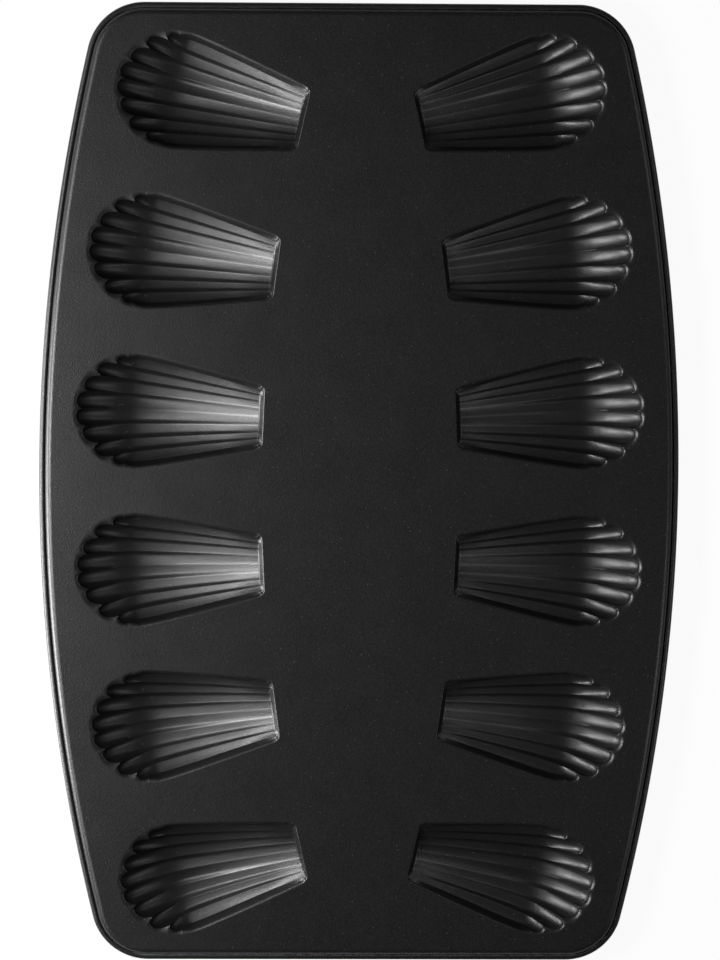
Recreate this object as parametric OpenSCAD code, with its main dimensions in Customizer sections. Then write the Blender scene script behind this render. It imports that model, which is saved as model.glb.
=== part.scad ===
// Madeleine pan: a pressed steel sheet with two columns of fluted shell cups, a rounded
// shoulder round the deck and an edge that is rolled over a wire.
//
// Lengths are in millimetres. The origin is under the middle of the pan, on the plane that
// the cups stand on, with +Y along the pan and +Z up. The deck, the cups and the rolled
// edge are one pressing: their nodes are regions of it that meet face to face.

/* [Pan] */
// Length of the pan over its rolled edge
pan_length = 400; // [396:1:430]
// Width of the pan at its middle, over its rolled edge
pan_width = 266; // [262:1:300]
// Radius of the two bowed sides
side_radius = 785; // [720:5:1000]
// Radius of the four corners at the outer edge
corner_radius = 24; // [20:0.5:30]
// Thickness of the steel sheet
sheet = 0.6; // [0.5:0.05:0.8]

/* [Rolled edge] */
// Diameter of the wire inside the rolled edge
wire_diameter = 1.8; // [1.4:0.1:2.2]
// Outer radius of the shoulder where the deck turns down
shoulder_radius = 3; // [2:0.1:3.2]
// Height of the deck over the middle of the wire
deck_rise = 3.5; // [3.3:0.1:5]
// Gap between the end of the curl and the skirt
curl_gap = 0.3; // [0.2:0.05:0.5]

/* [Layout of the cups] */
// Number of cups along each long side
cup_rows = 6; // [3:1:6]
// Land between the tips of the flutes and the outer edge of the side
side_land = 15; // [13:0.5:18]
// Land between the outermost cups and the outer edge of the end
end_land = 12.3; // [11.5:0.1:16]

/* [Cup] */
// Length of a cup from its straight end to the tips of its flutes
cup_length = 77; // [72:1:82]
// Width of a cup over its lip
cup_width = 48.4; // [46:0.2:50]
// Width of the straight end over its lip
cup_end_width = 27; // [25:0.5:31]
// Depth of a cup to the bottom of its flutes
cup_depth = 14; // [13:0.5:18]
// Depth of the ridges at the straight end
cup_end_depth = 3.5; // [3.2:0.1:4.5]
// Radius of the bowl across the cup at its widest place
bowl_radius = 31; // [30:0.5:36]
// Width of the lip that rounds the deck into the cup
lip_width = 1.4; // [1:0.1:1.8]
// Depth of the lip
lip_depth = 0.8; // [0.6:0.05:1]
// Lean of the walls under the lip
wall_lean = 0.6; // [0.4:0.1:0.9]

/* [Flutes] */
// Number of flutes in a cup
flute_count = 8; // [6:2:8]
// Depth of a flute at the widest place
flute_depth = 1.3; // [0.8:0.1:1.6]
// How far the tips of the middle flutes reach past the ridges between them
tip_reach = 2.6; // [1.8:0.1:3.2]
// How far past the middle of the round end the line of ridge ends meets the wall
ridge_shoulder = 1.6; // [1:0.2:3]
// How far past the middle of the round end the line of flute tips meets the wall
tip_shoulder = 7; // [5:0.5:9]

/* [Hidden] */
coat = "#2d2d2f";
bare_steel = "#9a9c9e";

// Rolled edge. Places in its section are measured inwards from the outer edge.
wire_r = wire_diameter / 2;
bead_r = wire_r + sheet;
skirt_in = bead_r + wire_r;
deck_in = skirt_in + shoulder_radius;

// Outline of the pan: bow_x is the distance of the centre of each bow from the middle.
bow_x = side_radius - pan_width / 2;
corner_y = pan_length / 2 - corner_radius;
bow_half_angle = asin(corner_y / (side_radius - corner_radius));
corner_x = (side_radius - corner_radius) * cos(bow_half_angle) - bow_x;

// Round end of a cup: outside the lip it is an arc about nose_x. The cup is widest and
// deepest a little before that.
nose_x = cup_length + lip_width - cup_width / 2;
belly_back = 2.2;
cup_belly = nose_x - belly_back;

// The axes of the cups are radii of the bow, so the cups fan out with the side.
cup_start = side_radius - side_land - cup_length;
belly_out = cup_start + cup_belly;
belly_reach = norm([belly_out, cup_width / 2]);
outer_cup_angle = asin((pan_length / 2 - end_land) / belly_reach)
    - atan(cup_width / 2 / belly_out);
cup_pitch = 2 * outer_cup_angle / (cup_rows - 1);

// Half widths at the foot of the side walls, at the straight end and at the belly.
lip_and_wall = lip_width + wall_lean;
foot_half = cup_width / 2 - lip_and_wall;
foot_end_half = cup_end_width / 2 - lip_and_wall;

// At the straight end the bowl runs out, in the corners, this little below the lip.
end_corner_wall = 0.1;
end_rise = cup_end_depth - lip_depth - end_corner_wall;
bowl_end_radius = (pow(foot_end_half, 2) + pow(end_rise, 2)) / (2 * end_rise);

// The lip is half as wide at the straight end, where the pressing is crisp.
end_lip = lip_width / 2;
end_corner = 3;

// Each side of a cup is a parabola that is level at the belly; side_pull is how near
// the belly its end tangents cross.
side_pull = 0.89 * cup_belly;
side_curve = 2 * side_pull - cup_belly;

// The ridges fan out by fan_angle. Their ends and the tips of the flutes lie on two
// parabolas about the axis, which meet the side wall past the middle of the round end.
fan_angle = 74;
mouth_half = foot_half + wall_lean / 2;
ridge_line = (cup_length - tip_reach - nose_x - ridge_shoulder) / pow(mouth_half, 2);
tip_line = (cup_length - nose_x - tip_shoulder) / pow(mouth_half, 2);
side_tip_share = 0.4;

// The floor starts to rise gently at the belly and ends steeply at the mouth.
rise_ease = 0.25;
function rise_share(p) = (
        (norm([p, rise_ease]) - rise_ease) / (norm([1, rise_ease]) - rise_ease)
        + 1 - sqrt(1 - pow(min(p, 1), 2))
    ) / 2;

half_count = flute_count / 2;
ridge_depth = cup_depth - flute_depth;

// Stations along a cup, and places across each flute, where the mesh has points.
floor_steps = 4;
rise_steps = 4;
flute_steps = [0, 0.28, 0.72];
across = concat(
    [for (i = [0:flute_count - 1]) for (s = flute_steps) i + s - half_count],
    [half_count]
);

// Share of the full flute depth at a place across it, and of the reach of its tip.
function place_in_flute(t) = t - floor(t);
function flute_share(t) = place_in_flute(t) < 0.01 ? 0 : 1;
function tip_share(t) = place_in_flute(t) < 0.01 ? 0
    : pow(4 * place_in_flute(t) * (1 - place_in_flute(t)), 0.5)
        * (abs(t) > half_count - 1 ? side_tip_share : 1);

// Half width at the foot of the side walls, at a distance u from the straight end.
function side_place(u) = (side_pull - sqrt(max(0, pow(side_pull, 2) - side_curve * u)))
    / side_curve;
function foot_width(u) = foot_half - (foot_half - foot_end_half)
    * pow(1 - side_place(min(max(u, 0), cup_belly)), 2);

// Depth of the middle ridge along the floor, the bowl's radius there, and how far the bowl
// rises at v beside it.
function middle_depth(u) = ridge_depth
    - (ridge_depth - cup_end_depth) * pow(1 - min(u, cup_belly) / cup_belly, 2);
function bowl_at(u) = bowl_end_radius
    + (bowl_radius - bowl_end_radius) * min(u, cup_belly) / cup_belly;
function bowl_rise(u, v) = bowl_at(u) - sqrt(pow(bowl_at(u), 2) - pow(v, 2));

// Where the line t across the flutes runs out at the round end of the mouth.
function out_v(t) = mouth_half * sin(fan_angle * t / half_count) / sin(fan_angle);
function ridge_out_u(t) = cup_length - tip_reach - ridge_line * pow(out_v(t), 2);
function tip_out_u(t) = cup_length - tip_line * pow(out_v(t), 2);
function out_u(t) = ridge_out_u(t) + (tip_out_u(t) - ridge_out_u(t)) * tip_share(t);

// Ridges are straight lines in plan; the outermost flutes fill up to the foot of the wall.
function ridge_v(u, t) = let (start = foot_end_half * t / half_count)
    start + (out_v(t) - start) * u / out_u(t);
function line_v(u, t) = let (last = half_count - 1)
    abs(t) <= last ? ridge_v(u, t)
    : let (inner = ridge_v(u, last), part = abs(t) - last)
        sign(t) * (inner + (foot_width(u) - inner) * part);

// Floor of the cup from the straight end to the belly, then up to the round end. Flutes
// get shallower towards the straight end a little faster than they get narrower.
flute_fade = 1.5;
function flute_scale(u) = pow(ridge_v(u, 1) / ridge_v(cup_belly, 1), flute_fade);
function floor_point(u, t) = let (
        v = line_v(u, t),
        push = flute_depth * flute_share(t) * flute_scale(u),
        tilt = asin(v / bowl_at(u))
    )
    [u, v + push * sin(tilt), -(middle_depth(u) - bowl_rise(u, v) + push * cos(tilt))];
function rise_point(p, t) = let (
        low = floor_point(cup_belly, t),
        last = half_count - 1,
        u = cup_belly + (out_u(t) - cup_belly) * p,
        v = abs(t) <= last ? ridge_v(u, t) + (low.y - line_v(cup_belly, t)) * (1 - p)
            : low.y + (out_v(t) - low.y) * p
    )
    [u, v, low.z + (-lip_depth - low.z) * rise_share(p)];

// Plan of the mouth beside the floor: side 1 is the foot of the lip, side 2 its outside.
function side_out(side) = side == 1 ? wall_lean : lip_and_wall;
function side_level(side) = side == 1 ? -lip_depth : 0;

// Outside of the lip round the end, as a turn about nose_x that is even over each flute.
function ridge_turn(t) = atan2(out_v(t), ridge_out_u(t) - nose_x);
function nose_turn(t) = let (k = floor(t), part = t - k)
    part == 0 ? ridge_turn(k) : ridge_turn(k) * (1 - part) + ridge_turn(k + 1) * part;
function nose_point(turn) = [nose_x + cup_width / 2 * cos(turn), cup_width / 2 * sin(turn), 0];

// Rounds the corners at the straight end: the corner square is mapped onto a disc.
function round_corner(q) = let (
        corner_v = cup_end_width / 2,
        a = (end_corner - end_lip - q.x) / end_corner,
        b = (abs(q.y) - corner_v + end_corner) / end_corner
    )
    a <= 0 || b <= 0 ? q
    : let (scale = max(a, b) / norm([a, b]))
        [end_corner - end_lip - a * scale * end_corner,
         sign(q.y) * (corner_v - end_corner + b * scale * end_corner), q.z];

// One line of points across the cup: lip, wall foot, flutes, wall foot and lip again.
function with_sides(u, middle, width) = concat(
    [for (side = [2, 1]) [u, -width - side_out(side), side_level(side)]],
    middle,
    [for (side = [1, 2]) [u, width + side_out(side), side_level(side)]]
);
function end_line(u, level) = [for (q = with_sides(u,
        [for (t = across) [u, line_v(max(u, 0), t), level]], foot_width(0)))
    round_corner([q.x, q.y, max(q.z, level)])];
function floor_line(u) = [for (q = with_sides(u,
        [for (t = across) floor_point(u, t)], foot_width(u)))
    round_corner(q)];
function rise_line(p) = with_sides(cup_belly + (nose_x - cup_belly) * p,
    [for (t = across) rise_point(p, t)], foot_half);
nose_line = let (last = nose_turn(half_count), step = (90 - last) / 3) concat(
    [nose_point(-last - 2 * step), nose_point(-last - step)],
    [for (t = across) nose_point(nose_turn(t))],
    [nose_point(last + step), nose_point(last + 2 * step)]
);

end_draft = 0.9;
cup_lines = concat(
    [end_line(-end_lip, 0)],
    [end_line(0, -lip_depth)],
    [for (i = [0:floor_steps])
        floor_line(end_draft + (cup_belly - end_draft) * pow(i / floor_steps, 0.9))],
    [for (i = [1:rise_steps]) rise_line(sin(90 * i / rise_steps))],
    [nose_line]
);

// Underside: the points moved by the sheet's thickness along the surface normal.
rows = len(cup_lines);
cols = len(cup_lines[0]);
function unit(q) = q / norm(q);
function under_point(i, j) = cup_lines[i][j]
    - sheet * (i == 0 || j == 0 || i == rows - 1 || j == cols - 1 ? [0, 0, 1]
        : unit(cross(cup_lines[i + 1][j] - cup_lines[i - 1][j],
                     cup_lines[i][j + 1] - cup_lines[i][j - 1])));

// The rim of a cup, anticlockwise from above: indices into cup_lines, row by row.
rim_places = concat(
    [for (i = [0:rows - 2]) [i, 0]],
    [for (j = [0:cols - 2]) [rows - 1, j]],
    [for (i = [rows - 1:-1:1]) [i, cols - 1]],
    [for (j = [cols - 1:-1:1]) [0, j]]
);
rim_plan = [for (p = rim_places) [cup_lines[p[0]][p[1]].x, cup_lines[p[0]][p[1]].y]];
cup_points = concat(
    [for (i = [0:rows - 1]) for (j = [0:cols - 1]) cup_lines[i][j]],
    [for (i = [0:rows - 1]) for (j = [0:cols - 1]) under_point(i, j)]
);
function number(i, j) = i * cols + j;
below = rows * cols;
cup_faces = concat(
    [for (i = [0:rows - 2]) for (j = [0:cols - 2]) for (half = [0, 1])
        half == 0 ? [number(i, j), number(i, j + 1), number(i + 1, j + 1)]
            : [number(i, j), number(i + 1, j + 1), number(i + 1, j)]],
    [for (i = [0:rows - 2]) for (j = [0:cols - 2]) for (half = [0, 1])
        half == 0 ? [below + number(i, j), below + number(i + 1, j + 1), below + number(i, j + 1)]
            : [below + number(i, j), below + number(i + 1, j), below + number(i + 1, j + 1)]],
    [for (k = [0:len(rim_places) - 1]) for (half = [0, 1]) let (
            p = rim_places[k],
            q = rim_places[(k + 1) % len(rim_places)],
            a = number(p[0], p[1]),
            b = number(q[0], q[1])
        )
        half == 0 ? [a, b, below + b] : [a, below + b, below + a]]
);

// The deck is as high as the lowest point of the cups' underside asks for.
deck_top = -min([for (p = cup_points) p.z]);

// Points along the outer edge, anticlockwise from above: [x, y, and the way out].
bow_steps = 16;
corner_steps = 6;
function arc_stations(x, y, r, from, to, steps, first) = [for (i = [first:steps]) let (
        a = from + (to - from) * i / steps
    )
    [x + r * cos(a), y + r * sin(a), cos(a), sin(a)]];
function bow_stations(x, middle) = arc_stations(
    x, 0, side_radius, middle - bow_half_angle, middle + bow_half_angle, bow_steps, 1);
function corner_stations(x, y, from, to, first) = arc_stations(
    x, y, corner_radius, from, to, corner_steps, first);
edge_stations = concat(
    bow_stations(-bow_x, 0),
    corner_stations(corner_x, corner_y, bow_half_angle, 90, 1),
    corner_stations(-corner_x, corner_y, 90, 180 - bow_half_angle, 0),
    bow_stations(bow_x, 180),
    corner_stations(-corner_x, -corner_y, 180 + bow_half_angle, 270, 1),
    corner_stations(corner_x, -corner_y, 270, 360 - bow_half_angle, 0)
);
function edge_point(s, q) = [s[0] + s[2] * q.x, s[1] + s[3] * q.x, q.y];

// Section of the shoulder, the short skirt and the curl round the wire. In it, x is 0 at
// the outer edge and less than 0 inside it, and y is the height.
curl_end = acos((curl_gap - wire_r) / bead_r);
bead_middle = [-bead_r, deck_top - deck_rise];
shoulder_middle = [-deck_in, deck_top - shoulder_radius];
curl_angles = concat([for (i = [0:4]) 180 + 36 * i], [for (i = [0:3]) 360 + curl_end * i / 3]);
shoulder_angles = [for (i = [0:4]) 90 - 22.5 * i];
function on_circle(middle, r, a) = middle + r * [cos(a), sin(a)];
function backwards(list) = [for (i = [len(list) - 1:-1:0]) list[i]];
rim_section = backwards(concat(
    [for (a = shoulder_angles) on_circle(shoulder_middle, shoulder_radius, a)],
    [for (a = curl_angles) on_circle(bead_middle, wire_r, a)],
    [for (a = backwards(curl_angles)) on_circle(bead_middle, bead_r, a)],
    [for (a = backwards(shoulder_angles)) on_circle(shoulder_middle, shoulder_radius - sheet, a)]
));
wire_section = concat(
    [for (a = curl_angles) on_circle(bead_middle, wire_r, a)],
    [on_circle(bead_middle, wire_r, (curl_end + 180) / 2)]
);

SIDES = ["left", "right"];

// Places a cup's shape: row 1 is at the +Y end, and the left column is mirrored.
module at_cup(side, row) {
    turn = cup_pitch * ((cup_rows + 1) / 2 - row);
    mirror([side == "left" ? 1 : 0, 0, 0])
        translate([-bow_x, 0, 0])
            rotate([0, 0, turn])
                translate([cup_start, 0, 0])
                    children();
}

// One fluted shell cup, cut from the sheet along the outside of its lip.
module cup(side, row) {
    color(coat)
        at_cup(side, row)
            translate([0, 0, deck_top])
                polyhedron(points = cup_points, faces = cup_faces, convexity = 6);
}

// Sweeps a closed section round the pan, which closes on itself.
module round_the_edge(section) {
    turns = len(edge_stations);
    sides = len(section);
    polyhedron(
        points = [for (s = edge_stations) for (q = section) edge_point(s, q)],
        faces = [for (k = [0:turns - 1]) for (i = [0:sides - 1]) for (half = [0, 1]) let (
                a = k * sides + i,
                b = k * sides + (i + 1) % sides,
                c = (k + 1) % turns * sides + (i + 1) % sides,
                d = (k + 1) % turns * sides + i
            )
            half == 0 ? [a, b, c] : [a, c, d]],
        convexity = 8
    );
}

// The flat deck inside the shoulder, with a hole for each cup.
module deck() {
    color(coat)
        translate([0, 0, deck_top - sheet])
            difference() {
                linear_extrude(height = sheet)
                    polygon([for (s = edge_stations) let (q = edge_point(s, [-deck_in, 0])) [q.x, q.y]]);
                for (side = SIDES)
                    for (row = [1:cup_rows])
                        at_cup(side, row)
                            translate([0, 0, -sheet])
                                linear_extrude(height = 3 * sheet)
                                    polygon(rim_plan);
            }
}

module rolled_rim() {
    color(coat)
        round_the_edge(rim_section);
}

module rim_wire() {
    color(bare_steel)
        round_the_edge(wire_section);
}

deck();
for (side = SIDES)
    for (row = [1:cup_rows])
        cup(side, row);
rolled_rim();
rim_wire();
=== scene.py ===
"""Madeleine pan: detailed surfaces, coating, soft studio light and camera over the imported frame."""
import math
import bpy
import numpy as np
from mathutils import Matrix, Vector
from mathutils.geometry import delaunay_2d_cdt


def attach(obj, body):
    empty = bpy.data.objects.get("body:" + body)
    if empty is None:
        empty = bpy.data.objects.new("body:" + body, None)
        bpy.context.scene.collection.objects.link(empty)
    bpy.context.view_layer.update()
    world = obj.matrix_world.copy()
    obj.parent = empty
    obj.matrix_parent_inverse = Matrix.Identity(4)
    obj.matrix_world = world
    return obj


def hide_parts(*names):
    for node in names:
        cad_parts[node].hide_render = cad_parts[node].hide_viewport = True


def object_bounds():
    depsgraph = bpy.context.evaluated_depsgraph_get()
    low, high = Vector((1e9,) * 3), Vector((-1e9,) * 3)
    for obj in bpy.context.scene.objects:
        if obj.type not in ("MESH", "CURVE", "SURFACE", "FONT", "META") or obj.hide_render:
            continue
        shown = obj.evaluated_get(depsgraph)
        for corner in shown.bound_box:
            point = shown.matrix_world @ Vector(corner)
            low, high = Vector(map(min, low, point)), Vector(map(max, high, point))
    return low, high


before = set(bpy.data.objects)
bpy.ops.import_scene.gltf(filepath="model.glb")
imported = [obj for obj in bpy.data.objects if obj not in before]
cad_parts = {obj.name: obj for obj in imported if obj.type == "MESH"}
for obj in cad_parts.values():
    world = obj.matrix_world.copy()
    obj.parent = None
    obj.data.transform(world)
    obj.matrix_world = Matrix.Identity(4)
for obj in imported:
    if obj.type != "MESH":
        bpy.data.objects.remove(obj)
cad_low, cad_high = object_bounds()

MM = 0.001

# ---- Sizes of the part's source, in millimetres ----
PAN_LENGTH, PAN_WIDTH = 400.0, 266.0
SIDE_RADIUS, CORNER_RADIUS = 785.0, 24.0
SHEET = 0.6
WIRE_R = 0.9
SHOULDER = 3.0                          # outer radius of the bend where the deck turns down
DECK_RISE = 3.5                         # height of the deck over the middle of the wire
CURL_GAP = 0.3                          # between the end of the curl and the skirt
ROWS = 6
SIDE_LAND, END_LAND = 15.0, 12.3        # from the cups to the outer edge
CUP_LENGTH, CUP_WIDTH, CUP_END_WIDTH = 77.0, 48.4, 27.0
CUP_DEPTH, CUP_END_DEPTH = 14.0, 3.5
LIP, LIP_DEPTH = 1.4, 0.8
END_LIP = LIP / 2                       # the lip is half as wide at the straight end
END_CORNER = 3.0
END_CORNER_WALL = 0.1                   # from the lip down to the bowl in the end's corners
BELLY_BACK = 2.2                        # from the centre of the round end to the widest place
SIDE_PULL_SHARE = 0.89                  # how near the belly the end tangents of a side cross
FAN = math.radians(74)                  # how far the ridges fan out
FLUTES = 8
TIP_REACH = 2.6                         # of the middle tips past the ridges between them
RIDGE_SHOULDER, TIP_SHOULDER = 1.6, 7.0     # where their two lines meet the wall, past the nose
SIDE_TIP = 0.4                          # reach of the outermost tips as a share of the line's

BEAD_R = WIRE_R + SHEET
SKIRT_IN = BEAD_R + WIRE_R              # the skirt's outer face, inwards from the outer edge
DECK_IN = SKIRT_IN + SHOULDER
DECK_TOP = cad_high.z / MM
BOW_X = SIDE_RADIUS - PAN_WIDTH / 2
CORNER_Y = PAN_LENGTH / 2 - CORNER_RADIUS
BOW_HALF = math.asin(CORNER_Y / (SIDE_RADIUS - CORNER_RADIUS))
CORNER_X = (SIDE_RADIUS - CORNER_RADIUS) * math.cos(BOW_HALF) - BOW_X
NOSE_X = CUP_LENGTH + LIP - CUP_WIDTH / 2
BELLY = NOSE_X - BELLY_BACK
CUP_START = SIDE_RADIUS - SIDE_LAND - CUP_LENGTH
BELLY_OUT = CUP_START + BELLY
OUTER_ANGLE = (math.asin((PAN_LENGTH / 2 - END_LAND) / math.hypot(BELLY_OUT, CUP_WIDTH / 2))
               - math.atan(CUP_WIDTH / 2 / BELLY_OUT))
PITCH = 2 * OUTER_ANGLE / (ROWS - 1)

# ---- Sizes of the cups' surface, which is finer here than in the source, in millimetres ----
WALL_LEAN = 1.4                         # of the side walls, from the mouth to the foot
LEAN_LOST = 0.85                        # the share of it that is gone at the round end
END_DRAFT = 1.2                         # lean of the wall at the straight end
LIP_POWER = 2.6                         # how the lip rounds over into the wall
BOWL_RADIUS = 28.0                      # across the cup at its widest place
MIDDLE_RISE = 0.4                       # height of the middle ridge over the full depth
FLOOR_POWER = 1.6                       # how the slope of the floor eases off towards the belly
RISE_EASE = 0.4                         # how gently the floor starts to rise to the round end
START_POWER = 1.35                      # 1 spaces the ridges evenly at the straight end
FLUTE_DEPTH = 0.75
MIDDLE_START = 0.15                     # the two middle flutes begin this shallow, as a share
SIDE_FLUTE = 0.3                        # the others are stairs, hollow by only this share
LOW_PLACE = 0.73                        # where a flute is lowest, from its inner ridge out
FALL_POWER, CLIMB_POWER = 1.5, 1.15     # how its floor falls to there and its wall climbs on
STAIR_LEVEL = 0.50                      # how level the stairs are: 0 as the bowl's arc, 1 level
STAIR_START, STAIR_FULL = 2.0, 17.0     # the stairs grow between these places along the cup
NOTCH = 0.07                            # how round the notch between two tips is
SIDE_TIP_POWER = 1.5                    # how the outermost tips thin out towards the wall
TIP_TURN = 0.35                         # how far the tips turn outwards round the end

HALF = FLUTES / 2
FOOT = CUP_WIDTH / 2 - LIP - WALL_LEAN
FOOT_END = CUP_END_WIDTH / 2 - LIP - WALL_LEAN
END_RISE = CUP_END_DEPTH - LIP_DEPTH - END_CORNER_WALL
BOWL_END_RADIUS = (FOOT_END ** 2 + END_RISE ** 2) / (2 * END_RISE)
RIDGE_DEPTH = CUP_DEPTH - MIDDLE_RISE
SIDE_PULL = SIDE_PULL_SHARE * BELLY
SIDE_CURVE = 2 * SIDE_PULL - BELLY
MOUTH = FOOT + WALL_LEAN / 2
RIDGE_LINE = (CUP_LENGTH - TIP_REACH - NOSE_X - RIDGE_SHOULDER) / MOUTH ** 2
TIP_LINE = (CUP_LENGTH - NOSE_X - TIP_SHOULDER) / MOUTH ** 2

# ---- Lines of a cup's mesh ----
HALF_FLUTE = np.array([0, 0.03, 0.065, 0.105, 0.16, 0.23, 0.31, 0.4, 0.5])
IN_FLUTE = np.concatenate([HALF_FLUTE, 1 - HALF_FLUTE[-2:0:-1]])
ACROSS = np.concatenate([k + IN_FLUTE for k in range(-FLUTES // 2, FLUTES // 2)] + [[HALF]])
LIP_STEPS = np.array([0, 0.2, 0.4, 0.55, 0.7, 0.8, 0.88, 0.94, 1])      # 0 outside, 1 at the mouth
WALL_STEPS = np.array([0.12, 0.3, 0.5, 0.7, 0.86])      # 0 at the mouth, 1 at the foot
SIDE_COUNT = len(LIP_STEPS) + len(WALL_STEPS)
FLOOR_LINES, RISE_LINES = 34, 33
FLOOR_SPACING = 1.15                    # 1 spaces the floor's lines evenly along the cup
BLEND = 9                               # how many lines either side of the belly are smoothed
NORMAL_BLUR = 3                         # how often the normals for the underside are smoothed
WELD_DIGITS = 6                         # points that agree to this many decimals are one point

# ---- Ridges on which the coat is rubbed smooth ----
CREST_LINE = 0.34                       # half width of the smooth line, in millimetres
CREST_RIDGES = 1.5                      # only the ridges nearer the middle than this have one
CREST_END, CREST_FADE = 0.9, 0.25       # where it ends and the length it fades over, of BELLY


# ---- One cup: its inner surface as a grid of points ----
# u runs along the cup from its straight end, v across it and z up from the deck. t counts
# the ridges across it: 0 is the middle ridge and HALF either way the foot of a side wall.
def across_tip(t):
    """Place across a flute's tip, 0 in the notches and 0.5 in the middle; the notches are round."""
    p = t - np.floor(t)
    x = np.minimum(p, 1 - p)
    y = 0.5 * (np.sqrt(x ** 2 + NOTCH ** 2) - NOTCH) / (math.hypot(0.5, NOTCH) - NOTCH)
    at_wall = HALF - np.abs(t) < 0.5            # the outer side of the outermost tips has no notch
    return np.where(at_wall, HALF - np.abs(t), y)


def tip_share(t):
    """How far a flute's tip reaches past its ridges; the tips are round."""
    y = across_tip(t)
    thinned = y ** SIDE_TIP_POWER / 0.5 ** (SIDE_TIP_POWER - 1)
    y = np.where(np.abs(t) > HALF - 0.5, thinned, y)
    return np.sqrt(4 * y * (1 - y)) * np.where(np.abs(t) > HALF - 1, SIDE_TIP, 1)


def inner_ridge(t):
    """The ridge beside a flute that is nearer the middle, counted from the middle."""
    return np.minimum(np.floor(np.abs(t)), HALF - 1)


def climb_share(t):
    """0 on a flute's floor, rising to 1 over the steep wall at its outer ridge."""
    p = np.abs(t) - inner_ridge(t)
    climb = (np.maximum(p - LOW_PLACE, 0) / (1 - LOW_PLACE)) ** CLIMB_POWER
    return np.where(np.abs(t) > HALF - 1, 0, climb)     # the outermost ones end at the side wall


def flute_share(t):
    """A flute falls gently from its inner ridge and climbs steeply to its outer one."""
    p = np.abs(t) - inner_ridge(t)
    return 1 - (1 - np.minimum(p / LOW_PLACE, 1)) ** FALL_POWER - climb_share(t)


def rise_share(p):
    """How far the floor has risen at a share p of the way to the mouth; it ends steeply."""
    slow = (np.sqrt(p ** 2 + RISE_EASE ** 2) - RISE_EASE) / (math.hypot(1, RISE_EASE) - RISE_EASE)
    return (slow + 1 - np.sqrt(1 - np.minimum(p, 1) ** 2)) / 2


def lip_drop(s):
    """Fall of the lip from its outside, s = 0, to the mouth, s = 1."""
    return -LIP_DEPTH * s ** LIP_POWER


def foot_width(u):
    """Half width of the cup at the foot of its side walls, a parabola, level at the belly."""
    u = np.clip(u, 0, BELLY)
    place = (SIDE_PULL - np.sqrt(np.maximum(0, SIDE_PULL ** 2 - SIDE_CURVE * u))) / SIDE_CURVE
    return FOOT - (FOOT - FOOT_END) * (1 - place) ** 2


def middle_depth(u):
    """Depth of the middle ridge."""
    to_belly = 1 - np.minimum(u, BELLY) / BELLY
    return RIDGE_DEPTH - (RIDGE_DEPTH - CUP_END_DEPTH) * to_belly ** FLOOR_POWER


def out_v(t):
    """Where the line at t ends at the mouth, across the cup."""
    return MOUTH * np.sin(FAN * t / HALF) / math.sin(FAN)


def ridge_out_u(t):
    """Where the line at t would end along the cup if it were a ridge."""
    return CUP_LENGTH - TIP_REACH - RIDGE_LINE * out_v(t) ** 2


def ridge_turn(t):
    """The direction of a ridge's end, seen from the centre of the round end."""
    return np.arctan2(out_v(t), ridge_out_u(t) - NOSE_X)


def nose_turn(t):
    """The direction of a place on the lip's outside; the ridges keep theirs."""
    k = np.minimum(np.floor(t), HALF - 1)
    part = t - k
    return ridge_turn(k) * (1 - part) + ridge_turn(k + 1) * part


def tip_shift(t):
    """How far a flute's tip reaches past its ridges, along the cup and across it."""
    reach = (CUP_LENGTH - TIP_LINE * out_v(t) ** 2 - ridge_out_u(t)) * tip_share(t)
    turn = TIP_TURN * ridge_turn(t)
    return reach * np.cos(turn), reach * np.sin(turn)


def out_u(t):
    """Where the line at t ends at the mouth, along the cup."""
    return ridge_out_u(t) + tip_shift(t)[0]


def ridge_v(u, t):
    """Place across the cup on a straight line from the straight end to the mouth."""
    start = FOOT_END * np.sign(t) * (1 - (1 - np.abs(t) / HALF) ** START_POWER)
    return start + (out_v(t) - start) * u / out_u(t)


def line_v(u, t):
    """Place across the floor: the outermost flutes lie between a ridge and the side wall's foot."""
    last = HALF - 1
    inner = ridge_v(u, np.full_like(t, last))
    side = np.sign(t) * (inner + (foot_width(u) - inner) * (np.abs(t) - last))
    return np.where(np.abs(t) <= last, ridge_v(u, t), side)


def floor_point(u, t):
    """The fluted floor, from the straight end to the belly."""
    v = line_v(u, t)
    scale = ridge_v(u, np.ones_like(t)) / ridge_v(BELLY, np.ones_like(t))
    along = np.clip(u / BELLY, 0, 1)
    inmost = np.abs(t) < 1
    amount = np.where(inmost, MIDDLE_START + (1 - MIDDLE_START) * along ** 2, SIDE_FLUTE)
    grown = np.clip((u - STAIR_START) / (STAIR_FULL - STAIR_START), 0, 1)
    level = STAIR_LEVEL * grown ** 2 * (3 - 2 * grown) * np.where(inmost, along ** 2, 1)
    push = FLUTE_DEPTH * flute_share(t) * amount * scale
    radius = BOWL_END_RADIUS + (BOWL_RADIUS - BOWL_END_RADIUS) * along
    inner = line_v(u, np.sign(t) * inner_ridge(t))
    outer = line_v(u, np.sign(t) * (inner_ridge(t) + 1))
    low, high, rise = (radius - np.sqrt(radius ** 2 - w ** 2) for w in (inner, outer, v))
    stair = (high - low) * climb_share(t)
    stair = (rise - low) * (1 - level) + stair * level
    return np.stack([u + 0 * v, v, -(middle_depth(u) - low - stair + push)], -1)


def rise_point(p, t):
    """The rise to the round end, at a share p of the way from the belly to the mouth."""
    belly = np.full_like(t, BELLY)
    low = floor_point(belly, t)
    u = BELLY + (out_u(t) - BELLY) * p
    inner = ridge_v(u, t) + (low[..., 1] - line_v(belly, t)) * (1 - p)
    v = np.where(np.abs(t) <= HALF - 1, inner, low[..., 1] + (out_v(t) - low[..., 1]) * p)
    v = v + tip_shift(t)[1] * p ** 2
    z = low[..., 2] + (-LIP_DEPTH - low[..., 2]) * rise_share(p)
    return np.stack([u, v, z], -1)


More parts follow.
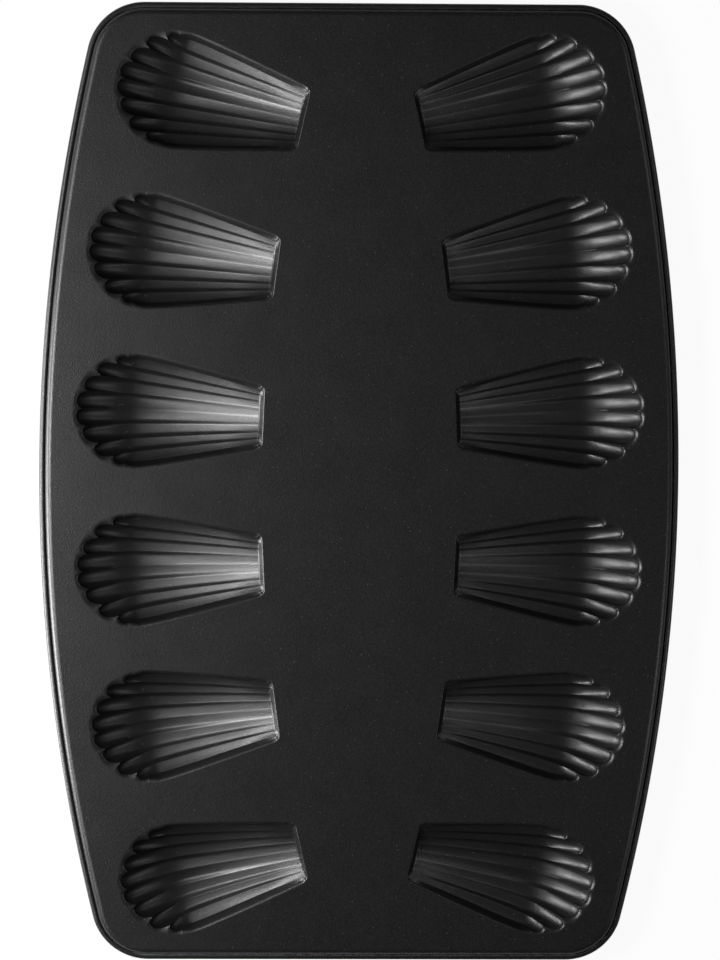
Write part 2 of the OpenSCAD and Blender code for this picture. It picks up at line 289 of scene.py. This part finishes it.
def round_corner(line):
    """Rounds the corners at the straight end: the corner square is mapped onto a disc."""
    u, v = line[..., 0], line[..., 1]
    middle_u, middle_v = END_CORNER - END_LIP, CUP_END_WIDTH / 2 - END_CORNER
    a = (middle_u - u) / END_CORNER
    b = (np.abs(v) - CUP_END_WIDTH / 2 + END_CORNER) / END_CORNER
    in_corner = (a > 0) & (b > 0)
    scale = np.where(in_corner, np.maximum(a, b) / np.maximum(np.hypot(a, b), 1e-9), 1)
    out = line.copy()
    out[..., 0] = np.where(in_corner, middle_u - a * scale * END_CORNER, u)
    out[..., 1] = np.where(in_corner, np.sign(v) * (middle_v + b * scale * END_CORNER), v)
    return out


def side_points(u, foot_v, foot_z, u_out=None, lean=WALL_LEAN, out=None):
    """The lip and the side wall, from outside the lip to just above the wall's foot."""
    u_out = u if u_out is None else u_out
    out = foot_v + WALL_LEAN + LIP if out is None else out
    mouth = foot_v + lean
    lip = [[u_out + (u - u_out) * s, out + (mouth - out) * s, lip_drop(s)] for s in LIP_STEPS]
    wall = [[u, mouth - lean * w, -LIP_DEPTH + (foot_z + LIP_DEPTH) * w] for w in WALL_STEPS]
    return np.array(lip + wall)


def with_sides(u, middle, width, **kind):
    """One line across the cup: lip, wall, flutes, wall and lip again."""
    left = side_points(u, width, middle[0, 2], **kind) * [1, -1, 1]
    right = side_points(u, width, middle[-1, 2], **kind)[::-1]
    return np.concatenate([left, middle, right])


def end_lines():
    """The lip at the straight end and the wall under it."""
    lines = []
    for s in LIP_STEPS:
        u = -END_LIP * (1 - s)
        level = lip_drop(s)
        middle = np.stack([np.full_like(ACROSS, u), line_v(np.zeros_like(ACROSS), ACROSS),
                           np.full_like(ACROSS, level)], -1)
        line = with_sides(u, middle, float(foot_width(0)))
        line[:, 2] = np.maximum(line[:, 2], level)
        lines.append(round_corner(line))
    foot = floor_point(np.full_like(ACROSS, END_DRAFT), ACROSS)
    for w in WALL_STEPS:
        u = END_DRAFT * w
        middle = foot.copy()
        middle[:, 0] = u
        middle[:, 2] = -LIP_DEPTH + (foot[:, 2] + LIP_DEPTH) * w
        lines.append(round_corner(with_sides(u, middle, float(foot_width(u)))))
    return lines


def floor_lines():
    """The floor with its side walls, from the foot of the end's wall to the belly."""
    lines = []
    for s in np.linspace(0, 1, FLOOR_LINES) ** FLOOR_SPACING:
        u = END_DRAFT + (BELLY - END_DRAFT) * s
        middle = floor_point(np.full_like(ACROSS, u), ACROSS)
        lines.append(round_corner(with_sides(u, middle, float(foot_width(u)))))
    return lines


def rise_lines():
    """The rise from the belly to the mouth at the round end."""
    lines = []
    for p in np.sin(np.linspace(0, math.pi / 2, RISE_LINES + 1)[1:]):
        middle = rise_point(p, ACROSS)
        lines.append(with_sides(middle[-1, 0], middle, middle[-1, 1], out=CUP_WIDTH / 2,
                                u_out=BELLY + (NOSE_X - BELLY) * p,
                                lean=WALL_LEAN * (1 - LEAN_LOST * p)))
    return lines


def nose_lines(mouth):
    """The lip round the end, outwards from the mouth."""
    last = float(nose_turn(np.array(HALF)))
    fan = np.linspace(math.pi / 2, last, SIDE_COUNT + 1)[:-1]
    turn = np.concatenate([-fan, nose_turn(ACROSS), fan[::-1]])
    outside = np.stack([NOSE_X + CUP_WIDTH / 2 * np.cos(turn), CUP_WIDTH / 2 * np.sin(turn),
                        0 * turn], -1)
    lines = []
    for s in LIP_STEPS[-2::-1]:
        line = outside + (mouth - outside) * s
        line[:, 2] = mouth[:, 2] * (lip_drop(s) / -LIP_DEPTH)
        lines.append(line)
    return lines


def cup_grid():
    """All lines across a cup, with the floor turning gently into the rise."""
    lines = end_lines() + floor_lines() + rise_lines()
    grid = np.array(lines + nose_lines(lines[-1]))
    belly = SIDE_COUNT + FLOOR_LINES - 1
    bend = grid[belly - BLEND:belly + BLEND + 1, SIDE_COUNT:-SIDE_COUNT]
    for _ in range(BLEND):
        bend[1:-1] = (bend[:-2] + 2 * bend[1:-1] + bend[2:]) / 4
    return grid


def grid_normals(grid):
    normals = np.cross(np.gradient(grid, axis=0), np.gradient(grid, axis=1))
    return normals / np.maximum(np.linalg.norm(normals, axis=-1, keepdims=True), 1e-12)


def blurred(normals, times):
    """Each normal averaged with its neighbours in both directions of the grid."""
    for _ in range(times):
        for axis in (0, 1):
            size = normals.shape[axis]
            wide = np.concatenate([np.take(normals, [0], axis), normals,
                                   np.take(normals, [-1], axis)], axis)
            before, same, after = (np.take(wide, range(k, k + size), axis) for k in range(3))
            normals = (before + 2 * same + after) / 4
    return normals / np.linalg.norm(normals, axis=-1, keepdims=True)


def crest_share(grid):
    """1 on the ridges of a cup's floor, where the coat is rubbed smooth, and 0 beside them."""
    side = np.full(SIDE_COUNT, HALF)
    t = np.concatenate([side, ACROSS, side])
    off = np.abs(t - np.round(t))
    width = (grid[:, -SIDE_COUNT - 1, 1] - grid[:, SIDE_COUNT, 1]) / FLUTES
    share = np.exp(-(off * width[:, None] / CREST_LINE) ** 2) * (np.abs(t) < CREST_RIDGES)
    share *= np.clip((CREST_END * BELLY - grid[..., 0]) / (CREST_FADE * BELLY), 0, 1)
    share[:SIDE_COUNT + 1] = 0          # up to the foot of the wall at the straight end
    return share


def welded(points, faces, values):
    """Merges points that coincide and drops the faces that this leaves without area."""
    _, first, index = np.unique(np.round(points, WELD_DIGITS), axis=0,
                                return_index=True, return_inverse=True)
    index = index.ravel()
    out = []
    for face in faces:
        ring = [int(index[k]) for k in face]
        ring = [k for n, k in enumerate(ring) if k != ring[n - 1]]
        if len(ring) > 2:
            out.append(tuple(ring))
    return points[first], out, values[first]


def grid_rim(rows, cols):
    """The points round the outside of a grid."""
    return ([i * cols for i in range(rows - 1)]
            + [(rows - 1) * cols + j for j in range(cols - 1)]
            + [i * cols + cols - 1 for i in range(rows - 1, 0, -1)]
            + [j for j in range(cols - 1, 0, -1)])


def cup_mesh():
    """Points, faces, rim in plan and smooth ridges of one cup as a closed shell."""
    top = cup_grid()
    rows, cols = top.shape[:2]
    normals = blurred(grid_normals(top), NORMAL_BLUR)
    normals[0, :] = normals[-1, :] = normals[:, 0] = normals[:, -1] = (0, 0, 1)
    under = top - SHEET * normals
    under[..., 2] = np.maximum(under[..., 2], -DECK_TOP)
    points = np.concatenate([top.reshape(-1, 3), under.reshape(-1, 3)])
    below = rows * cols
    faces = []
    for i in range(rows - 1):
        for j in range(cols - 1):
            a, b = i * cols + j, (i + 1) * cols + j
            c, d = b + 1, a + 1
            faces.append((a, b, c, d))
            faces.append((below + a, below + d, below + c, below + b))
    rim = grid_rim(rows, cols)
    same = [np.allclose(points[k], points[rim[n - 1]], rtol=0, atol=10 ** -WELD_DIGITS)
            for n, k in enumerate(rim)]
    rim = [k for k, repeated in zip(rim, same) if not repeated]
    for a, b in zip(rim, rim[1:] + rim[:1]):
        faces.append((b, a, below + a, below + b))
    outline = points[rim, :2]
    crest = np.concatenate([crest_share(top).ravel(), np.zeros(below)])
    points, faces, crest = welded(points, faces, crest)
    return points, faces, outline, crest


def place(points, side, row):
    """A cup's points in the pan, from its own frame; the left ones are mirrored."""
    turn = PITCH * ((ROWS + 1) / 2 - row)
    u, v = points[:, 0] + CUP_START, points[:, 1]
    x = u * math.cos(turn) - v * math.sin(turn) - BOW_X
    y = u * math.sin(turn) + v * math.cos(turn)
    x = x if side == "right" else -x
    return np.stack([x, y] + ([points[:, 2] + DECK_TOP] if points.shape[1] == 3 else []), -1)


# ---- Outline of the pan and what is swept round it ----
def edge_stations(bow_steps=56, corner_steps=26):
    """Places round the pan's outer edge, each with its direction outwards."""
    stations = []

    def arc(x, y, radius, start, end, steps, first):
        for i in range(first, steps + 1):
            a = start + (end - start) * i / steps
            out_x, out_y = math.cos(a), math.sin(a)
            stations.append((x + radius * out_x, y + radius * out_y, out_x, out_y))

    quarter, half = math.pi / 2, math.pi
    arc(-BOW_X, 0, SIDE_RADIUS, -BOW_HALF, BOW_HALF, bow_steps, 1)
    arc(CORNER_X, CORNER_Y, CORNER_RADIUS, BOW_HALF, quarter, corner_steps, 1)
    arc(-CORNER_X, CORNER_Y, CORNER_RADIUS, quarter, half - BOW_HALF, corner_steps, 0)
    arc(BOW_X, 0, SIDE_RADIUS, half - BOW_HALF, half + BOW_HALF, bow_steps, 1)
    arc(-CORNER_X, -CORNER_Y, CORNER_RADIUS, half + BOW_HALF, 3 * quarter, corner_steps, 1)
    arc(CORNER_X, -CORNER_Y, CORNER_RADIUS, 3 * quarter, 2 * half - BOW_HALF, corner_steps, 0)
    return np.array(stations)


STATIONS = edge_stations()


def on_edge(x, z):
    """Points round the pan at a distance x outwards from its outer edge and a height z."""
    return np.stack([STATIONS[:, 0] + STATIONS[:, 2] * x, STATIONS[:, 1] + STATIONS[:, 3] * x,
                     np.full(len(STATIONS), z)], -1)


def sweep(section):
    """A section carried round the pan; its points run anticlockwise, with outwards to the right."""
    rings = np.stack([on_edge(x, z) for x, z in section], 1)
    turns, sides = rings.shape[:2]
    faces = []
    for k in range(turns):
        for i in range(sides):
            j, m = (i + 1) % sides, (k + 1) % turns
            faces.append((k * sides + i, m * sides + i, m * sides + j, k * sides + j))
    return rings.reshape(-1, 3), faces


def circle(middle, radius, angles):
    return [(middle[0] + radius * math.cos(a), middle[1] + radius * math.sin(a)) for a in angles]


# ---- Coating and wire ----
GRAIN, MOTTLE, FLECKS = 2100, 60, 1250                  # how fine each noise is, per metre
NOISE_RANGE = (0.3, 0.7)                                # where most of a noise lies
FLECK_RANGE = (0.79, 0.85)                              # only its highest places are flecks
COAT_DARK, COAT_LIGHT = (0.0025, 0.0025, 0.0027, 1), (0.0095, 0.0095, 0.0098, 1)
FLECK_COLOUR = (0.045, 0.045, 0.045, 1)
COAT_ROUGHNESS = (0.345, 0.375)
COAT_GLOSS = (0.5, 1.0)                                 # plain, and where a ridge is rubbed
GRAIN_HEIGHT, GRAIN_STRENGTH = 0.00007, 0.9
STEEL_DARK, STEEL_LIGHT = (0.30, 0.30, 0.31, 1), (0.38, 0.38, 0.39, 1)
STEEL_ROUGHNESS = (0.35, 0.55)


def new_material(name):
    material = bpy.data.materials.new(name)
    material.use_nodes = True
    tree = material.node_tree
    where = tree.nodes.new("ShaderNodeTexCoord").outputs["Object"]
    return material, tree, tree.nodes["Principled BSDF"], where


def noise(tree, where, scale, detail=2.0, rough=0.5):
    texture = tree.nodes.new("ShaderNodeTexNoise")
    texture.inputs["Scale"].default_value = scale
    texture.inputs["Detail"].default_value = detail
    texture.inputs["Roughness"].default_value = rough
    tree.links.new(where, texture.inputs["Vector"])
    return texture.outputs["Fac"]


def remap(tree, value, source, target=(0, 1)):
    """Carries one range of a value onto another and keeps it inside."""
    ramp = tree.nodes.new("ShaderNodeMapRange")
    for name, number in zip(("From Min", "From Max", "To Min", "To Max"), source + target):
        ramp.inputs[name].default_value = number
    tree.links.new(value, ramp.inputs["Value"])
    return ramp.outputs["Result"]


def blend(tree, share, first, second):
    """A mix of two colours; the first can be the output of another node."""
    mix = tree.nodes.new("ShaderNodeMix")
    mix.data_type = "RGBA"
    if isinstance(first, tuple):
        mix.inputs["A"].default_value = first
    else:
        tree.links.new(first, mix.inputs["A"])
    mix.inputs["B"].default_value = second
    tree.links.new(share, mix.inputs["Factor"])
    return mix.outputs["Result"]


def coat_material():
    """Black non-stick coat: fine grain, a few pale flecks, smooth where a ridge is rubbed."""
    material, tree, shader, where = new_material("nonstick_coat")
    grain = noise(tree, where, GRAIN, detail=1.0)
    mottle = noise(tree, where, MOTTLE, detail=4.0, rough=0.55)
    dark = blend(tree, remap(tree, grain, NOISE_RANGE), COAT_DARK, COAT_LIGHT)
    flecks = remap(tree, noise(tree, where, FLECKS, detail=0.0), FLECK_RANGE)
    tree.links.new(blend(tree, flecks, dark, FLECK_COLOUR), shader.inputs["Base Color"])
    uneven = remap(tree, mottle, NOISE_RANGE, COAT_ROUGHNESS)
    tree.links.new(uneven, shader.inputs["Roughness"])
    bump = tree.nodes.new("ShaderNodeBump")
    bump.inputs["Strength"].default_value = GRAIN_STRENGTH
    bump.inputs["Distance"].default_value = GRAIN_HEIGHT
    tree.links.new(grain, bump.inputs["Height"])
    tree.links.new(bump.outputs["Normal"], shader.inputs["Normal"])
    shader.inputs["IOR"].default_value = 1.5
    crest = tree.nodes.new("ShaderNodeAttribute")
    crest.attribute_name = "crest"
    gloss = remap(tree, crest.outputs["Fac"], (0, 1), COAT_GLOSS)
    tree.links.new(gloss, shader.inputs["Specular IOR Level"])
    return material


def wire_material():
    """Plain drawn steel."""
    material, tree, shader, where = new_material("drawn_wire")
    shader.inputs["Metallic"].default_value = 1.0
    streaks = noise(tree, where, 700, detail=3.0)
    tree.links.new(blend(tree, streaks, STEEL_DARK, STEEL_LIGHT), shader.inputs["Base Color"])
    uneven = remap(tree, noise(tree, where, 300), NOISE_RANGE, STEEL_ROUGHNESS)
    tree.links.new(uneven, shader.inputs["Roughness"])
    return material


COAT = coat_material()
WIRE = wire_material()


# ---- The pieces ----
SHARP_ANGLE = math.radians(65)
TURN = 2 * math.pi
BEAD_MIDDLE = (-BEAD_R, DECK_TOP - DECK_RISE)           # in the rim's section: outwards and up
SHOULDER_MIDDLE = (-DECK_IN, DECK_TOP - SHOULDER)
CURL_STEPS, CURL_END_STEPS, SHOULDER_STEPS, WIRE_STEPS = 22, 16, 15, 24
WIRE_SLIP = 0.01                        # the wire's radius is this much less than its space


def new_object(name, points, faces, material, node, smooth=True):
    """A mesh object on the pan's body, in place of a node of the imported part."""
    mesh = bpy.data.meshes.new(name)
    mesh.from_pydata([tuple(v) for v in np.asarray(points) * MM], [], faces)
    mesh.validate()
    if smooth:
        mesh.shade_smooth()
        mesh.set_sharp_from_angle(angle=SHARP_ANGLE)
    mesh.materials.append(material)
    obj = bpy.data.objects.new(name, mesh)
    bpy.context.scene.collection.objects.link(obj)
    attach(obj, "root")
    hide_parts(node)
    return obj


def add_cups():
    """The twelve cups; returns their rims in plan."""
    points, faces, rim, crest = cup_mesh()
    mirrored = [face[::-1] for face in faces]
    rims = []
    for side in ("left", "right"):
        for row in range(1, ROWS + 1):
            shell = new_object(f"shell_cup_{side}_{row}", place(points, side, row),
                               mirrored if side == "left" else faces, COAT,
                               f"cup_{side}_{row}")
            values = shell.data.attributes.new("crest", "FLOAT", "POINT")
            values.data.foreach_set("value", crest)
            rims.append(place(rim, side, row))
    return rims


def inside(points, loop):
    """Which points lie inside a closed loop, by counting crossings."""
    hit = np.zeros(len(points), bool)
    for (x0, y0), (x1, y1) in zip(loop, np.roll(loop, -1, 0)):
        if y0 == y1:
            continue
        cross = (y0 > points[:, 1]) != (y1 > points[:, 1])
        hit ^= cross & (points[:, 0] < (x1 - x0) * (points[:, 1] - y0) / (y1 - y0) + x0)
    return hit


def flat_triangles(outline, holes):
    """Triangles in plan between an outline and the holes in it, facing up."""
    loops = [outline] + holes
    edges = []
    start = 0
    for loop in loops:
        count = len(loop)
        edges += [(start + k, start + (k + 1) % count) for k in range(count)]
        start += count
    corners = [Vector(p) for p in np.concatenate(loops)]
    points, _, triangles, *_ = delaunay_2d_cdt(corners, edges, [], 0, 1e-7, False)
    points = np.array([tuple(v) for v in points])
    triangles = np.array(triangles)
    middles = points[triangles].mean(1)
    keep = inside(middles, outline)
    for hole in holes:
        keep &= ~inside(middles, hole)
    triangles = triangles[keep]
    a, b, c = (points[triangles[:, k]] for k in range(3))
    down = np.cross(b - a, c - a) < 0
    triangles[down] = triangles[down][:, ::-1]
    return points, triangles


def add_deck(cup_rims):
    """The flat plate: its triangles above and below, closed along the edges that lie open."""
    points, triangles = flat_triangles(on_edge(-DECK_IN, 0)[:, :2], cup_rims)
    count = len(points)
    above = [tuple(int(i) for i in t) for t in triangles]
    below = [tuple(i + count for i in face[::-1]) for face in above]
    edges = dict.fromkeys((face[k], face[(k + 1) % 3]) for face in above for k in range(3))
    walls = [(b, a, a + count, b + count) for a, b in edges if (b, a) not in edges]
    levels = [np.c_[points, np.full(count, z)] for z in (DECK_TOP, DECK_TOP - SHEET)]
    deck = new_object("deck_sheet", np.concatenate(levels), above + below + walls, COAT, "deck",
                      smooth=False)


def add_rim():
    """Shoulder, skirt and curl: along the sheet's upper side, back along its lower, reversed."""
    curl_end = math.acos((CURL_GAP - WIRE_R) / BEAD_R)
    curl = np.concatenate([np.linspace(math.pi, TURN, CURL_STEPS),
                           np.linspace(TURN, TURN + curl_end, CURL_END_STEPS)[1:]])
    turn_down = np.linspace(math.pi / 2, 0, SHOULDER_STEPS)
    section = (circle(SHOULDER_MIDDLE, SHOULDER, turn_down)
               + circle(BEAD_MIDDLE, WIRE_R, curl)
               + circle(BEAD_MIDDLE, BEAD_R, curl[::-1])
               + circle(SHOULDER_MIDDLE, SHOULDER - SHEET, turn_down[::-1]))[::-1]
    points, faces = sweep(section)
    rim = new_object("rolled_edge", points, faces, COAT, "rolled_rim")


def add_wire():
    angles = np.linspace(0, TURN, WIRE_STEPS + 1)[:-1]
    points, faces = sweep(circle(BEAD_MIDDLE, WIRE_R - WIRE_SLIP, angles))
    wire = new_object("edge_wire", points, faces, WIRE, "rim_wire")


add_deck(add_cups())
add_rim()
add_wire()

# ---- Floor, world and lamps, in metres ----
FLOOR_REACH = 3
FLOOR_COLOUR = (0.82, 0.82, 0.82, 1)
FLOOR_ROUGHNESS = 0.9
FLOOR_GLOW = 0.94                       # share of plain white in the floor that the camera sees
FILL = 0.06                             # the world's faint light on the pan
SOFTBOX, REFLECTOR = 0.16, 0.19         # sides of the lamps


def floor_material():
    """A pale floor that looks nearly white to the camera and keeps a faint shadow."""
    material = bpy.data.materials.new("studio_floor")
    material.use_nodes = True
    tree = material.node_tree
    shader = tree.nodes["Principled BSDF"]
    shader.inputs["Base Color"].default_value = FLOOR_COLOUR
    shader.inputs["Roughness"].default_value = FLOOR_ROUGHNESS
    glow = tree.nodes.new("ShaderNodeEmission")
    glow.inputs["Strength"].default_value = 1.0
    mix = tree.nodes.new("ShaderNodeMixShader")
    path = tree.nodes.new("ShaderNodeLightPath")
    seen = tree.nodes.new("ShaderNodeMath")
    seen.operation = "MULTIPLY"
    seen.inputs[1].default_value = FLOOR_GLOW
    tree.links.new(path.outputs["Is Camera Ray"], seen.inputs[0])
    tree.links.new(seen.outputs[0], mix.inputs[0])
    tree.links.new(shader.outputs[0], mix.inputs[1])
    tree.links.new(glow.outputs[0], mix.inputs[2])
    tree.links.new(mix.outputs[0], tree.nodes["Material Output"].inputs["Surface"])
    return material


def add_floor():
    reach = FLOOR_REACH
    mesh = bpy.data.meshes.new("studio_floor")
    mesh.from_pydata([(-reach, -reach, 0), (reach, -reach, 0), (reach, reach, 0),
                      (-reach, reach, 0)], [], [(0, 1, 2, 3)])
    mesh.materials.append(floor_material())
    floor = bpy.data.objects.new("studio_floor", mesh)
    bpy.context.scene.collection.objects.link(floor)


def add_world():
    """White to the camera and a faint fill to the pan."""
    world = bpy.data.worlds.new("studio")
    bpy.context.scene.world = world
    world.use_nodes = True
    tree = world.node_tree
    background = tree.nodes["Background"]
    background.inputs["Color"].default_value = (1, 1, 1, 1)
    path = tree.nodes.new("ShaderNodeLightPath")
    level = tree.nodes.new("ShaderNodeMath")
    level.operation = "MULTIPLY_ADD"
    level.inputs[1].default_value = 1 - FILL
    level.inputs[2].default_value = FILL
    tree.links.new(path.outputs["Is Camera Ray"], level.inputs[0])
    tree.links.new(level.outputs[0], background.inputs["Strength"])


def add_lamp(name, x, y, z, size, radiance):
    """A square soft light that faces the pan, given by the brightness of its face."""
    lamp = bpy.data.lights.new(name, "AREA")
    lamp.shape = "SQUARE"
    lamp.size = size
    lamp.energy = radiance * math.pi * size * size
    obj = bpy.data.objects.new(name, lamp)
    obj.location = (x, y, z)
    obj.rotation_mode = "QUATERNION"
    obj.rotation_quaternion = obj.location.to_track_quat("Z", "Y")
    obj.visible_camera = False
    bpy.context.scene.collection.objects.link(obj)


add_floor()
add_world()

# The softbox on the left is near the pan and uneven; two faint reflectors stand on the right.
add_lamp("softbox_top_far_front", -0.46, -0.30, 0.49, SOFTBOX, 13.0)
add_lamp("softbox_low_front", -0.46, -0.15, 0.07, SOFTBOX, 33.2)
add_lamp("softbox_low_middle", -0.46, 0.00, 0.07, SOFTBOX, 17.2)
add_lamp("softbox_top_middle", -0.46, 0.00, 0.49, SOFTBOX, 48.3)
add_lamp("softbox_top_back", -0.46, 0.15, 0.49, SOFTBOX, 5.0)
add_lamp("softbox_upper_far_back", -0.46, 0.30, 0.33, SOFTBOX, 5.0)
add_lamp("reflector_front", 0.46, -0.20, 0.36, REFLECTOR, 3.0)
add_lamp("reflector_back", 0.46, 0.20, 0.36, REFLECTOR, 2.0)

# ---- Camera, fitted to the photograph ----
LENS, SENSOR = 90, 36                   # in millimetres, as Blender takes them
EYE_X, EYE_Y = -0.01252, 0.10487        # in metres
EYE_UP = 0.99343                        # over the middle of the wire
EYE_TURN = Vector((-0.1007, -0.0126, 0.0049))           # axis times angle, from straight down

camera = bpy.data.cameras.new("camera")
camera.lens = LENS
camera.sensor_width = SENSOR
camera.clip_start, camera.clip_end = 0.05, 20
eye = bpy.data.objects.new("camera", camera)
eye.matrix_world = (Matrix.Translation((EYE_X, EYE_Y, EYE_UP + (DECK_TOP - DECK_RISE) * MM))
                    @ Matrix.Rotation(EYE_TURN.length, 4, EYE_TURN.normalized()))
bpy.context.scene.collection.objects.link(eye)
bpy.context.scene.camera = eye
bpy.context.scene.view_settings.view_transform = "Standard"
